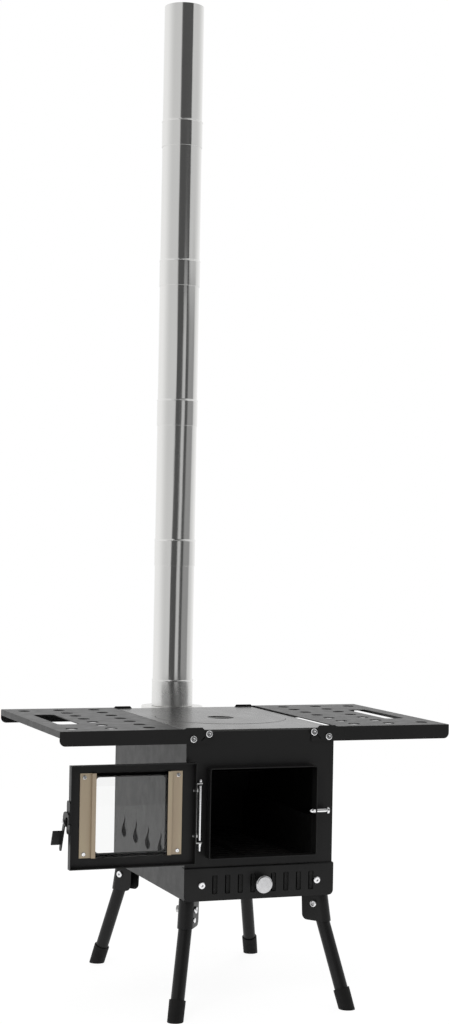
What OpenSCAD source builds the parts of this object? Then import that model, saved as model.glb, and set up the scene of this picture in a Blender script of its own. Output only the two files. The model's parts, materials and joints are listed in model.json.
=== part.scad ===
// Tent wood stove: sheet-steel firebox on four splayed folding legs, with a
// glazed door swung fully open, side shelves, a lift-out hot-plate lid and a
// stack of five slip-jointed flue sections behind the body.
// Frame: millimetres, +Z up, front of the stove at -Y, origin on the ground
// under the middle of the firebox. The door stands open at rest.

/* [Firebox] */
// Height of the firebox floor above the ground
floor_h = 175; // [165:1:180]
// Width of the firebox
body_w = 245; // [238:1:260]
// Depth of the firebox
body_d = 366; // [360:1:390]
// Height of the firebox
body_h = 262; // [256:1:290]
// Thickness of the bent sheet
sheet = 1.5; // [1:0.1:1.7]
// Thickness of the top plate, its ledge ring and the lid
plate_t = 3; // [2:0.5:4]

/* [Flame cut-outs] */
// Number of flame-shaped cut-outs in each side wall
flame_n = 5; // [3:2:5]
// Distance between neighbouring flames
flame_pitch = 64; // [50:1:66]
// Height of the foot of the flames above the firebox floor
flame_rise = 51; // [40:1:60]
// Height of one flame
flame_h = 38; // [30:1:42]
// Width of one flame
flame_w = 26; // [16:1:30]

/* [Hot plate] */
// Distance from the side of the firebox to the round lid
lid_margin = 16; // [15.5:0.5:26]
// Gap round the lid
lid_gap = 0.5; // [0.3:0.1:1]
// Width of the ledge under the rim of the lid
ledge_in = 6.5; // [4:0.5:10]
// Width of the lifting recess
recess_w = 42; // [24:1:44]
// Length of the lifting recess
recess_l = 46; // [46:1:60]
// Depth of the cup that closes the recess
recess_depth = 8; // [5:1:12]
// Width of the bar across the recess
recess_bar = 6; // [4:1:10]

/* [Door mouth] */
// Outer width of the collar round the door opening
mouth_w = 178; // [170:1:180]
// Outer height of the collar
mouth_h = 139; // [137:1:142]
// Height of the collar above the firebox floor
mouth_rise = 65.3; // [64:0.1:68]
// How far the collar stands out from the front plate
mouth_depth = 18; // [16:0.5:22]

/* [Door] */
// Lap of the door past the collar on the hinge side
lap_hinge = 7.4; // [6.5:0.1:8]
// Lap of the door past the collar on the latch side
lap_latch = 12.6; // [11:0.1:14]
// Lap of the door past the collar at the top
lap_top = 9.8; // [6:0.1:11]
// Lap of the door past the collar at the bottom
lap_bottom = 5.6; // [5:0.1:8]
// Depth of the door pan
door_depth = 12; // [10:0.5:14]
// Gap between the closed pan and the collar
door_gap = 0.6; // [0.4:0.1:1]
// Width of the door window
window_w = 109.3; // [90:0.1:112]
// Height of the door window
window_h = 113.2; // [90:0.1:116]
// Distance from the hinge side of the door to the window
window_in = 47.6; // [46:0.1:49]
// Height of the window above the bottom of the door
window_rise = 22.5; // [21:0.5:24]
// Thickness of the door glass
glass_t = 4; // [3:0.5:5]
// Lap of the glass past the window on the latch side
glass_lap_x = 5.5; // [4:0.5:6]
// Lap of the glass past the window on the hinge side
glass_lap_hinge = 7.8; // [6:0.1:8]
// Lap of the glass past the window at top and bottom
glass_lap_z = 6.6; // [6:0.1:8]
// Thickness of the gasket under the glass
gasket_t = 0.8; // [0.6:0.1:1.2]
// Width of the foot of a glass strip
strip_foot = 19; // [16:0.5:20]

/* [Hinge] */
// Distance from the hinge side of the door to the hinge axis
hinge_out = 8; // [7.5:0.1:9]
// Distance from the outside of the door to the hinge axis
hinge_back = 4.5; // [4:0.1:5]
// Radius of the hinge pin
pin_r = 1.8; // [1.5:0.1:2]
// Running clearance round the hinge pin
pin_clear = 0.05; // [0.03:0.01:0.09]
// Length of the hinge bracket
hinge_len = 88; // [80:1:100]
// Height of the foot of the hinge bracket above the firebox floor
hinge_rise = 93; // [84:1:98]

/* [Latch] */
// Height of the keeper bolt above the firebox floor
keeper_rise = 134; // [124:1:140]
// Radius of the keeper bolt
keeper_r = 3; // [2.5:0.1:3.2]
// Thickness of the latch lever
lever_t = 2.2; // [1.5:0.1:3]
// Length of the lever's handle
handle_l = 47; // [36:1:56]
// Width of the lever's handle
handle_w = 8; // [7:0.5:10]

/* [Air panel] */
// Height of the air panel
panel_h = 51; // [46:1:52]
// Number of air slots each side of the knob
slot_n = 4; // [2:1:4]
// Width of a slot
slot_w = 8.5; // [6:0.5:9]
// Height of a slot
slot_h = 29; // [20:1:30]
// Diameter of the damper knob
knob_d = 28; // [20:1:30]

/* [Shelves] */
// Width of a shelf
shelf_w = 194.5; // [180:0.5:220]
// Gap between the shelf and the side of the firebox
shelf_gap = 6.5; // [5:0.5:12]
// Height of the shelf's front and back edges
shelf_edge = 22.6; // [20:0.1:24]
// Height of the shelf's end edge
shelf_end = 10; // [8:0.5:14]
// Diameter of the holes in the shelves
shelf_hole_d = 20; // [12:0.5:24]
// Distance between the holes
shelf_hole_pitch = 50; // [46:1:52]
// Distance from the inner edge of a shelf to its first row of holes
hole_row_in = 43; // [30:1:50]
// Distance between the first and the second row of holes
hole_row_step = 61; // [40:1:64]
// Length of the hand slot
hand_slot_l = 158; // [100:1:170]
// Width of the hand slot
hand_slot_w = 35; // [24:1:40]

/* [Legs] */
// Outer diameter of a leg tube
leg_d = 21; // [18:0.5:22]
// Wall of a leg tube
leg_wall = 1.5; // [1:0.1:3]
// Lean of a leg from upright, in degrees
leg_tilt = 19.5; // [16:0.5:21]
// Direction of the lean, in degrees from the side toward the front
leg_turn = 55; // [50:0.5:60]
// Diameter of a rubber foot
foot_d = 25.5; // [24:0.5:27]
// Length of a rubber foot
foot_l = 32; // [24:1:40]
// Reach of a leg bracket inward from its pivot
bracket_in = 23; // [18:1:28]
// Reach of a leg bracket below its pivot
bracket_low = 27; // [22:1:32]

/* [Grate] */
// Height of the side liners
liner_h = 115; // [96:1:120]
// Height of the grate's ledges above the firebox floor
grate_rise = 51; // [44:1:58]
// Width of the grate's ledges
ledge_w = 32; // [24:1:36]

/* [Smoke outlet] */
// Width of the smoke outlet
outlet_w = 90; // [70:1:100]
// Height of the smoke outlet
outlet_h = 59; // [44:1:62]
// Height of the box behind the outlet
box_h = 86; // [78:1:96]
// Depth of the baffle
baffle_l = 110; // [80:1:140]

/* [Flue] */
// Outer diameter of a flue section
flue_d = 70; // [66:1:74]
// Wall of a flue section
flue_wall = 0.8; // [0.6:0.1:1.2]
// Length of a flue section
flue_len = 291; // [240:1:320]
// Length of the top flue section
flue_top_len = 250; // [200:1:300]
// Length of the slip joint
flue_joint = 45; // [35:1:50]
// Radial clearance in the slip joint
flue_clear = 0.08; // [0.04:0.01:0.09]
// Distance of the flue behind the firebox
flue_back = 65; // [60:1:75]

/* [Hidden] */
$fn = 64;

black = [0.13, 0.13, 0.13];
dark = [0.07, 0.07, 0.07];
chrome = [0.85, 0.86, 0.88];
steel = [0.78, 0.78, 0.78];
tan = [0.62, 0.57, 0.48];

// Margin by which a cut runs past the face that it opens
cut = 1;
// Gap at a seat, where one piece rests on another
seat = 0.3;

// Firebox planes
side_x = body_w / 2;
front_y = -body_d / 2;
back_y = body_d / 2;
top_z = floor_h + body_h;
roof_z = top_z - plate_t;

// Screws
screw_r = 3;
head_r = 5.5;
head_t = 3.2;
nut_r = 5.6;
nut_t = 4.5;
hole_r = screw_r + 0.05;
socket_share = 0.42;

// Hot plate
lid_r = side_x - lid_margin;
ring_out = lid_r + ledge_in;
ring_in = lid_r - ledge_in;
lid_z = roof_z + seat;
cup_wall = 1.5;

// Grate and the liners that carry it
liner_x = side_x - 11;
liner_top = floor_h + liner_h;
ledge_z = floor_h + grate_rise;
grate_t = 4;
grate_lap = 6;
grate_x = liner_x - ledge_w + grate_lap;
grate_y = body_d / 2 - sheet - 4;
grate_slot_w = 9;
grate_slot_pitch = 17;
grate_edge = 12;

// Smoke outlet, box and neck
outlet_z1 = roof_z - 30;
outlet_z0 = outlet_z1 - outlet_h;
flue_y = back_y + flue_back;
flue_r = flue_d / 2;
neck_r = flue_r + 17;
box_x = neck_r + 4;
box_y1 = flue_y + neck_r + 4;
box_z1 = top_z - 16;
box_z0 = box_z1 - box_h;
box_flange = 12;
box_screw_x = box_x + box_flange / 2;
box_screw_dz = 30;
box_screw_r = 2;
box_head_r = 3.6;
box_head_t = 2.4;
collar_skirt = 11.5;
collar_top = top_z - 2.5;
baffle_x = side_x - 21;
baffle_z = outlet_z0 - 7;
baffle_lip = 15;

// Door mouth and door planes, with the door closed
mouth_x = mouth_w / 2;
mouth_z0 = floor_h + mouth_rise;
mouth_z1 = mouth_z0 + mouth_h;
mouth_y = front_y - mouth_depth;
mouth_corner = 4;
hinge_x = -mouth_x - lap_hinge - hinge_out;
hinge_y = mouth_y - door_gap - sheet + hinge_back;
door_x1 = hinge_out + lap_hinge + mouth_w + lap_latch;
door_y0 = -hinge_back;
door_y1 = door_y0 + door_depth;
door_z0 = mouth_z0 - lap_bottom;
door_z1 = mouth_z1 + lap_top;
door_in_y = door_y0 + sheet;
window_x0 = hinge_out + window_in;
window_x1 = window_x0 + window_w;
window_z0 = door_z0 + window_rise;
window_z1 = window_z0 + window_h;
window_corner = 6;
glass_x0 = window_x0 - glass_lap_hinge;
glass_x1 = window_x1 + glass_lap_x;
glass_z0 = window_z0 - glass_lap_z;
glass_z1 = window_z1 + glass_lap_z;
glass_y0 = door_in_y + gasket_t;
glass_y1 = glass_y0 + glass_t;
gasket_w = 5;
strip_t = 1.5;
strip_gap = 0.3;
strip_lip = 5;
strip_screw_in = 6.8;
strip_screw_end = 6;
strip_screw_r = 1.6;
strip_head_r = 3.2;
strip_head_t = 1.6;

// Hinge: a bracket on the body between the two ears of a strap on the door
hinge_z0 = floor_h + hinge_rise;
hinge_z1 = hinge_z0 + hinge_len;
hinge_ear_t = 2;
hinge_leaf_w = 8;
bore_r = pin_r + pin_clear;
strap_t = 1.5;
strap_w = 8;
strap_z0 = hinge_z0 - seat - strap_t;
strap_z1 = hinge_z1 + seat + strap_t;
strap_x0 = hinge_out - strap_t;
hinge_screw_z = [hinge_z0 + 9.5, hinge_z1 - 9.3];
hinge_screw_r = 1.5;
hinge_head_r = 2.2;
hinge_head_t = 2;
hinge_nut_r = 3.9;
hinge_nut_t = 2;
pin_ball_r = 2.7;
pin_end = hinge_z0 - 14;
clip_r = 3.1;
clip_end_r = 2.3;
clip_l = 5.2;

// Latch: the lever turns about a pivot on the bracket and hooks over the keeper
keeper_dy = 3;
keeper_y = hinge_y + keeper_dy;
keeper_z = floor_h + keeper_rise;
pivot_y = -15;
pivot_z = keeper_z - 5;
pivot_r = 2;
pivot_head_r = 4;
pivot_head_t = 2.4;
latch_plate_t = 1.5;
latch_plate_out = 10;
latch_plate_down = 17;
latch_plate_up = 33;
lever_gap = 0.4;
lever_x0 = door_x1 + latch_plate_t + lever_gap;
lever_x1 = lever_x0 + lever_t;
keeper_gap = 0.6;
keeper_head_x = hinge_x + lever_x1 + keeper_gap;
keeper_head_r = 5.5;
keeper_head_t = 4;
keeper_tip_x = mouth_x - sheet - 5.8;
cap_nut_r = 4.6;
cap_nut_t = 4.5;
cap_dome_r = 3.9;
cap_dome_l = 5.3;
cap_nut_x = mouth_x - sheet - cap_nut_t;
latch_notch = 14;
notch_deep = 8.5;
hook_du = keeper_dy - pivot_y;
hook_dw = keeper_z - pivot_z;
hook_gap = keeper_r + 0.9;
hook_rise = 11;
handle_angle = 245;
paddle_w = 14;
paddle_t = 2.5;
paddle_h = 24;
paddle_end = 9;

// Air panel and damper
panel_gap = 0.4;
slide_y0 = front_y - panel_gap - sheet;
panel_in_y = slide_y0 - panel_gap;
panel_y = panel_in_y - sheet;
panel_wrap = 10;
panel_corner = 8;
slot_z = floor_h + panel_h / 2 - 1;
slot_corner = 2;
guide_x = side_x - 27;
slot_middle = 6;
slot_first = 16.9;
slot_last = guide_x - slot_middle - 9.6;
slot_pitch = (slot_last - slot_first) / (slot_n - 1);
slots_x = [for (s = [-1, 1], i = [0:slot_n - 1]) slot_middle + s * (slot_first + i * slot_pitch)];
slide_off = -6;
slide_reach = 4;
slide_x = side_x - 15;
slide_h = slot_h + 5;
slide_slot_clear = 0.4;
window_air_x = guide_x - 7.5;
window_air_h = slot_h + 6;
knob_x = 1.6;
knob_t = 9;
knob_stand = 11;
stem_r = 2.5;
stem_clear = 0.5;

// Shelves
pivot_in = 10;
shelf_px = side_x - pivot_in;
shelf_pz = top_z - 14;
shelf_z = shelf_pz + 15.5;
shelf_y = back_y + 0.6;
ear_out_y = shelf_y + sheet;
shelf_x0 = side_x + shelf_gap;
shelf_x1 = shelf_x0 + shelf_w;
shelf_edge_z = shelf_z - shelf_edge;
shelf_corner = 9;
nose_l = 29;
nose_top = 3.9;
stop_in = 25.25;
stop_up = nose_top + screw_r + 0.4;
ear_top = shelf_z - shelf_pz + 2;
ear_in = 20.5;
// Sweep that keeps the ear inside the stop screw as the shelf folds, with its first and last angle
ear_sweep = norm([stop_in, stop_up]) - screw_r - 0.35;
ear_turn = [180 - acos(ear_in / ear_sweep), 180 - asin(ear_top / ear_sweep)];
slit_l = 7;
slit_r = 0.8;
hole_row_1 = shelf_x0 + hole_row_in;
hole_row_2 = hole_row_1 + hole_row_step;
hole_row_3 = shelf_x1 - 29.5;
hand_slot_x = shelf_x1 - 44.5;
hand_slot_corner = 8;

// Legs
leg_r = leg_d / 2;
leg_px = side_x - 13.3;
leg_py = back_y - 21;
leg_drop = 16;
leg_pz = floor_h - leg_drop;
leg_run = leg_pz / cos(leg_tilt);
ear_gap = 0.4;
ear_t = 1.5;
ear_y0 = leg_r + ear_gap;
ear_y1 = ear_y0 + ear_t;
ear_round = 9;
web_tilt = 9.5;
// Axis of the bracket's round web, outward from the pivot, clear of the tube at its foot
web_foot_x = bracket_low * tan(leg_tilt) + leg_r / cos(leg_tilt) + 1.3 * seat - ear_y0 / cos(web_tilt);
web_px = web_foot_x - bracket_low * tan(web_tilt);
button_s = 16;
button_r = 3;
button_head_r = 4;
button_head_t = 2;
leg_bolt_r = 3;

// Flue
flue_in = flue_r - flue_wall;
socket_in = flue_r + flue_clear;
socket_out = socket_in + flue_wall;
bead_r = socket_out + 0.9;
bead_h = 5;
flue_z = collar_top + seat;
flue_pitch = flue_len - flue_joint + seat;
spigot_wall = 1.2;
spigot_l = flue_joint - 2 * seat;

// ---- helpers ----

// Block between two corners
module slab(x0, x1, y0, y1, z0, z1)
    translate([x0, y0, z0]) cube([x1 - x0, y1 - y0, z1 - z0]);

// Rectangle between two corners with rounded corners
module rounded(x0, x1, y0, y1, r) {
    translate([x0 + r, y0]) square([x1 - x0 - 2 * r, y1 - y0]);
    translate([x0, y0 + r]) square([x1 - x0, y1 - y0 - 2 * r]);
    for (x = [x0 + r, x1 - r], y = [y0 + r, y1 - r])
        translate([x, y]) circle(r);
}

// Upright plate: a flat shape drawn in x and z, thick from y0 to y1
module upright(y0, y1)
    translate([0, y1, 0]) rotate([90, 0, 0]) linear_extrude(y1 - y0) children();

// Cylinder along Y from y0 to y1 at x, z
module rod_y(x, z, y0, y1, r)
    translate([x, y1, z]) rotate([90, 0, 0]) cylinder(h = y1 - y0, r = r);

// Cylinder along X from x0 to x1 at y, z
module rod_x(y, z, x0, x1, r)
    translate([x0, y, z]) rotate([0, 90, 0]) cylinder(h = x1 - x0, r = r);

// Puts the door, drawn closed from its hinge axis, in its open place
module door_open()
    translate([hinge_x, hinge_y, 0]) rotate([0, 0, 180]) children();

// Socket-head screw along Y: side -1 has its head at the front, +1 at the back
module screw_y(x, z, side, under, length, r, hr, ht) {
    y0 = side * under;
    tip = side * (under - length);
    difference() {
        union() {
            rod_y(x, z, min(y0, tip), max(y0, tip), r);
            rod_y(x, z, min(y0, y0 + side * ht), max(y0, y0 + side * ht), hr);
        }
        translate([x, y0 + side * (ht / 2 + cut), z]) rotate([90, 0, 0])
            cylinder(h = ht + cut, r = hr * socket_share, center = true, $fn = 6);
    }
}

// Hexagon socket in a head along X, open toward +X at x1
module socket_x(x1, y, z, deep, across)
    translate([x1 - deep, y, z]) rotate([0, 90, 0]) cylinder(h = deep + cut, r = across, $fn = 6);

// Hexagon nut along Y round a screw
module nut_y(x, z, y0, y1, across, r)
    difference() {
        translate([x, y1, z]) rotate([90, 0, 0]) cylinder(h = y1 - y0, r = across, $fn = 6);
        rod_y(x, z, y0 - cut, y1 + cut, r);
    }

// ---- firebox ----

// A flame from foot to tip: share of its height, then shift and half width as shares of its width
flame_rows = [
    [0, 0, 0], [0.05, 0, 0.24], [0.13, 0, 0.42], [0.24, 0, 0.5], [0.35, 0.03, 0.43], [0.45, 0.06, 0.29],
    [0.55, 0.05, 0.18], [0.65, -0.03, 0.13], [0.75, -0.13, 0.11], [0.85, -0.18, 0.08], [0.93, -0.12, 0.04],
    [1, 0, 0]
];

// One flame with a curled tip
module flame()
    polygon(concat(
        [for (row = flame_rows) [flame_w * (row[1] + row[2]), flame_h * row[0]]],
        [for (i = [len(flame_rows) - 2:-1:1])
            [flame_w * (flame_rows[i][1] - flame_rows[i][2]), flame_h * flame_rows[i][0]]]));

// Side walls and floor, bent from one sheet
module body_shell() color(black) difference() {
    slab(-side_x, side_x, front_y + sheet, back_y - sheet, floor_h, roof_z);
    slab(-side_x + sheet, side_x - sheet, front_y, back_y, floor_h + sheet, top_z);
    for (i = [0:flame_n - 1])
        translate([0, (i - (flame_n - 1) / 2) * flame_pitch, floor_h + flame_rise])
            rotate([90, 0, 90]) linear_extrude(body_w + 2 * cut, center = true) flame();
}

// Screw holes that a front or back plate shares with both shelves
module shelf_screw_holes(y0, y1)
    for (s = [-1, 1]) {
        rod_y(s * shelf_px, shelf_pz, y0, y1, hole_r);
        rod_y(s * (shelf_px - stop_in), shelf_pz + stop_up, y0, y1, hole_r);
    }

module front_plate() color(black) difference() {
    slab(-side_x, side_x, front_y, front_y + sheet, floor_h, roof_z);
    upright(front_y - cut, front_y + sheet + cut)
        rounded(-mouth_x + sheet, mouth_x - sheet, mouth_z0 + sheet, mouth_z1 - sheet,
            mouth_corner - sheet);
    slab(-window_air_x, window_air_x, front_y - cut, front_y + sheet + cut,
        slot_z - window_air_h / 2, slot_z + window_air_h / 2);
    shelf_screw_holes(front_y - cut, front_y + sheet + cut);
    for (s = [-1, 1])
        rod_y(s * guide_x, slot_z, front_y - cut, front_y + sheet + cut, hole_r);
}

module back_plate() color(black) difference() {
    slab(-side_x, side_x, back_y - sheet, back_y, floor_h, roof_z);
    slab(-outlet_w / 2, outlet_w / 2, back_y - sheet - cut, back_y + cut, outlet_z0, outlet_z1);
    shelf_screw_holes(back_y - sheet - cut, back_y + cut);
    for (s = [-1, 1], t = [-1, 1])
        rod_y(s * box_screw_x, (box_z0 + box_z1) / 2 + t * box_screw_dz,
            back_y - sheet - cut, back_y + cut, box_screw_r + 0.05);
}

module top_plate() color(black) difference() {
    slab(-side_x, side_x, front_y, back_y, roof_z, top_z);
    translate([0, 0, roof_z - cut]) cylinder(h = plate_t + 2 * cut, r = lid_r + lid_gap, $fn = 128);
}

// Ledge ring under the top plate, which carries the lid
module lid_ring() color(black) difference() {
    translate([0, 0, roof_z - plate_t]) cylinder(h = plate_t, r = ring_out, $fn = 128);
    translate([0, 0, roof_z - plate_t - cut]) cylinder(h = plate_t + 2 * cut, r = ring_in, $fn = 128);
}

// Collar that stands out round the door opening
module door_collar() color(black) difference() {
    upright(mouth_y, front_y) rounded(-mouth_x, mouth_x, mouth_z0, mouth_z1, mouth_corner);
    upright(mouth_y - cut, front_y + cut)
        rounded(-mouth_x + sheet, mouth_x - sheet, mouth_z0 + sheet, mouth_z1 - sheet,
            mouth_corner - sheet);
    rod_x(keeper_y, keeper_z, mouth_x - sheet - cut, mouth_x + cut, keeper_r + 0.05);
}

// Inner liner with its top flange and the ledge that carries the grate
module liner(s) color(black) {
    y0 = front_y + sheet;
    y1 = back_y - sheet;
    mirror([s < 0 ? 1 : 0, 0, 0]) {
        slab(liner_x, liner_x + sheet, y0, y1, floor_h + sheet, liner_top);
        slab(liner_x, side_x - sheet, y0, y1, liner_top - sheet, liner_top);
        slab(liner_x - ledge_w, liner_x + sheet, y0, y1, ledge_z - sheet, ledge_z);
    }
}

module grate() color(dark) translate([0, 0, ledge_z + seat]) difference() {
    slab(-grate_x, grate_x, -grate_y, grate_y, 0, grate_t);
    count = floor((grate_y - grate_edge - grate_slot_w / 2) / grate_slot_pitch);
    for (i = [-count:count], s = [-1, 1])
        translate([s * (grate_x / 2 - 1), i * grate_slot_pitch, grate_t / 2])
            cube([grate_x - grate_edge, grate_slot_w, grate_t + 2 * cut], center = true);
}

// Baffle that the smoke passes over on its way to the outlet
module smoke_baffle() color(dark) {
    y1 = back_y - sheet;
    slab(-baffle_x, baffle_x, y1 - baffle_l, y1, baffle_z, baffle_z + sheet);
    slab(-baffle_x, baffle_x, y1 - sheet, y1, baffle_z - baffle_lip, baffle_z + sheet);
}

// Outlet box behind the firebox, with its flange and round neck
module smoke_box() color(black) difference() {
    union() {
        slab(-box_x, box_x, back_y, box_y1, box_z0, box_z1);
        slab(-box_x - box_flange, box_x + box_flange, back_y, back_y + sheet, box_z0, box_z1);
        translate([0, flue_y, box_z1 - sheet])
            cylinder(h = collar_top - sheet - box_z1 + sheet, r = neck_r);
    }
    slab(-box_x + sheet, box_x - sheet, back_y + sheet, box_y1 - sheet,
        box_z0 + sheet, box_z1 - sheet);
    slab(-outlet_w / 2, outlet_w / 2, back_y - cut, back_y + sheet + cut, outlet_z0, outlet_z1);
    translate([0, flue_y, box_z1 - 2 * sheet])
        cylinder(h = collar_top - box_z1 + 3 * sheet, r = neck_r - sheet);
    for (s = [-1, 1], t = [-1, 1])
        rod_y(s * box_screw_x, (box_z0 + box_z1) / 2 + t * box_screw_dz,
            back_y - cut, back_y + sheet + cut, box_screw_r + 0.05);
}

module smoke_box_screws() color(chrome)
    for (s = [-1, 1], t = [-1, 1])
        screw_y(s * box_screw_x, (box_z0 + box_z1) / 2 + t * box_screw_dz, 1,
            back_y + sheet, 2 * sheet + 4, box_screw_r, box_head_r, box_head_t);

// Stainless collar over the neck, with the spigot that carries the flue
module flue_collar() color(steel) translate([0, flue_y, 0]) rotate_extrude($fn = 128) {
    r1 = neck_r + 0.3;
    polygon([
        [flue_r - spigot_wall, collar_top - sheet],
        [r1, collar_top - sheet], [r1, collar_top - collar_skirt],
        [r1 + sheet, collar_top - collar_skirt], [r1 + sheet, collar_top],
        [flue_r, collar_top], [flue_r, collar_top + spigot_l],
        [flue_r - spigot_wall, collar_top + spigot_l]
    ]);
}

// ---- hot plate ----

// Long round shape of the lifting recess, grown by g
module recess(g) {
    r = recess_w / 2 + g;
    run = (recess_l - recess_w) / 2;
    translate([-r, -run]) square([2 * r, 2 * run]);
    for (s = [-1, 1]) translate([0, s * run]) circle(r);
}

module lid() color(black) translate([0, 0, lid_z]) difference() {
    cylinder(h = plate_t, r = lid_r, $fn = 128);
    translate([0, 0, -cut]) linear_extrude(plate_t + 2 * cut) difference() {
        recess(0);
        translate([-recess_w / 2 - cut, -recess_bar / 2]) square([recess_w + 2 * cut, recess_bar]);
    }
}

module lid_cup() color(dark) translate([0, 0, lid_z]) difference() {
    translate([0, 0, -recess_depth - cup_wall]) linear_extrude(recess_depth + cup_wall)
        recess(cup_wall);
    translate([0, 0, -recess_depth]) linear_extrude(recess_depth + cut) recess(0);
}

// ---- air panel and damper ----

// One row of upright slots, shifted along x
module slot_row(shift)
    for (x = slots_x)
        rounded(x + shift - slot_w / 2, x + shift + slot_w / 2,
            slot_z - slot_h / 2, slot_z + slot_h / 2, slot_corner);

module air_panel() color(black) difference() {
    union() {
        upright(panel_y, panel_in_y)
            rounded(-side_x - sheet, side_x + sheet, floor_h, floor_h + panel_h, panel_corner);
        slab(-side_x - sheet, side_x + sheet, panel_y, front_y,
            floor_h + panel_h - sheet, floor_h + panel_h);
        upright(panel_y, panel_in_y)
            translate([-side_x - sheet, floor_h + panel_h - panel_corner])
                square([body_w + 2 * sheet, panel_corner]);
        for (s = [-1, 1])
            slab(min(s * side_x, s * (side_x + sheet)), max(s * side_x, s * (side_x + sheet)),
                panel_y, front_y + panel_wrap, floor_h + panel_corner, floor_h + panel_h);
    }
    upright(panel_y - cut, panel_in_y + cut) slot_row(0);
    upright(panel_y - cut, panel_in_y + cut)
        rounded(knob_x - slide_reach - stem_r - stem_clear, knob_x + slide_reach + stem_r + stem_clear,
            slot_z - stem_r - stem_clear, slot_z + stem_r + stem_clear, stem_r);
    for (s = [-1, 1])
        rod_y(s * guide_x, slot_z, panel_y - cut, panel_in_y + cut, hole_r);
}

// Sliding plate behind the slots, carried on the two guide screws
module damper_slide() color(dark) difference() {
    slab(-slide_x, slide_x, slide_y0, slide_y0 + sheet, slot_z - slide_h / 2, slot_z + slide_h / 2);
    upright(slide_y0 - cut, slide_y0 + sheet + cut) {
        slot_row(slide_off);
        for (s = [-1, 1])
            rounded(s * guide_x - slide_reach - screw_r - slide_slot_clear,
                s * guide_x + slide_reach + screw_r + slide_slot_clear,
                slot_z - screw_r - slide_slot_clear, slot_z + screw_r + slide_slot_clear,
                screw_r + slide_slot_clear - 0.1);
    }
}

// Turned knob with a domed rim on its stem
module damper_knob() color(chrome) translate([knob_x, slide_y0, slot_z]) rotate([90, 0, 0]) {
    face = knob_stand + knob_t;
    rotate_extrude($fn = 96) polygon([
        [0, 0], [stem_r, 0], [stem_r, knob_stand - 2], [stem_r + 4, knob_stand],
        [knob_d / 2 - 1, knob_stand], [knob_d / 2, knob_stand + 1],
        [knob_d / 2, face - 3], [knob_d / 2 - 1, face - 1], [knob_d / 2 - 3, face],
        [0, face]
    ]);
}

module damper_screws() color(chrome)
    for (s = [-1, 1])
        screw_y(s * guide_x, slot_z, -1, -panel_y, -panel_y + front_y + sheet + nut_t + 1,
            screw_r, head_r, head_t);

module damper_nuts() color(steel)
    for (s = [-1, 1])
        nut_y(s * guide_x, slot_z, front_y + sheet, front_y + sheet + nut_t, nut_r, screw_r);

// ---- hinge ----

module hinge_bracket() color(black) difference() {
    union() {
        slab(hinge_x - hinge_leaf_w / 2, hinge_x + hinge_leaf_w / 2, front_y - sheet, front_y,
            hinge_z0, hinge_z1);
        for (z = [hinge_z0, hinge_z1 - hinge_ear_t]) {
            slab(hinge_x - hinge_leaf_w / 2, hinge_x + hinge_leaf_w / 2, hinge_y, front_y,
                z, z + hinge_ear_t);
            translate([hinge_x, hinge_y, z]) cylinder(h = hinge_ear_t, r = hinge_leaf_w / 2);
        }
    }
    translate([hinge_x, hinge_y, hinge_z0 - cut]) cylinder(h = hinge_len + 2 * cut, r = pin_r);
}

// Pin held in the bracket, with a ball above the strap
module hinge_pin() color(chrome) translate([hinge_x, hinge_y, 0]) {
    ball_z = strap_z1 + seat + pin_ball_r;
    translate([0, 0, pin_end]) cylinder(h = ball_z - pin_end, r = pin_r);
    translate([0, 0, ball_z]) sphere(r = pin_ball_r);
}

// Nut on the pin, under the strap
module pin_clip() color(chrome) translate([hinge_x, hinge_y, strap_z0 - seat - clip_l]) difference() {
    cylinder(h = clip_l, r1 = clip_end_r, r2 = clip_r);
    translate([0, 0, -cut]) cylinder(h = clip_l + 2 * cut, r = pin_r);
}

// ---- door, drawn closed from its hinge axis and then swung open ----

module door_pan() color(black) door_open() difference() {
    slab(hinge_out, door_x1, door_y0, door_y1, door_z0, door_z1);
    slab(hinge_out + sheet, door_x1 - sheet, door_in_y, door_y1 + cut,
        door_z0 + sheet, door_z1 - sheet);
    upright(door_y0 - cut, door_in_y + cut)
        rounded(window_x0, window_x1, window_z0, window_z1, window_corner);
    slab(door_x1 - sheet - cut, door_x1 + cut, door_y1 - notch_deep, door_y1 + cut,
        keeper_z - latch_notch / 2, keeper_z + latch_notch / 2);
    for (x = strip_screw_x, z = strip_screw_z)
        rod_y(x, z, door_y0 - cut, door_in_y + cut, strip_screw_r + 0.05);
    for (z = hinge_screw_z)
        rod_x(0, z, hinge_out - cut, hinge_out + sheet + cut, hinge_screw_r + 0.05);
}

module door_gasket() color(dark) door_open() upright(door_in_y, glass_y0) difference() {
    translate([glass_x0, glass_z0]) square([glass_x1 - glass_x0, glass_z1 - glass_z0]);
    translate([glass_x0 + gasket_w, glass_z0 + gasket_w])
        square([glass_x1 - glass_x0 - 2 * gasket_w, glass_z1 - glass_z0 - 2 * gasket_w]);
}

module door_glass() color([0.8, 0.9, 0.9, 0.3]) door_open()
    slab(glass_x0, glass_x1, glass_y0, glass_y1, glass_z0, glass_z1);

strip_left = glass_x0 - strip_gap;
strip_right = glass_x1 + strip_gap;
strip_screw_x = [strip_left - strip_foot + strip_screw_in, strip_right + strip_foot - strip_screw_in];
strip_screw_z = [glass_z0 + strip_screw_end, glass_z1 - strip_screw_end];

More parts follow.
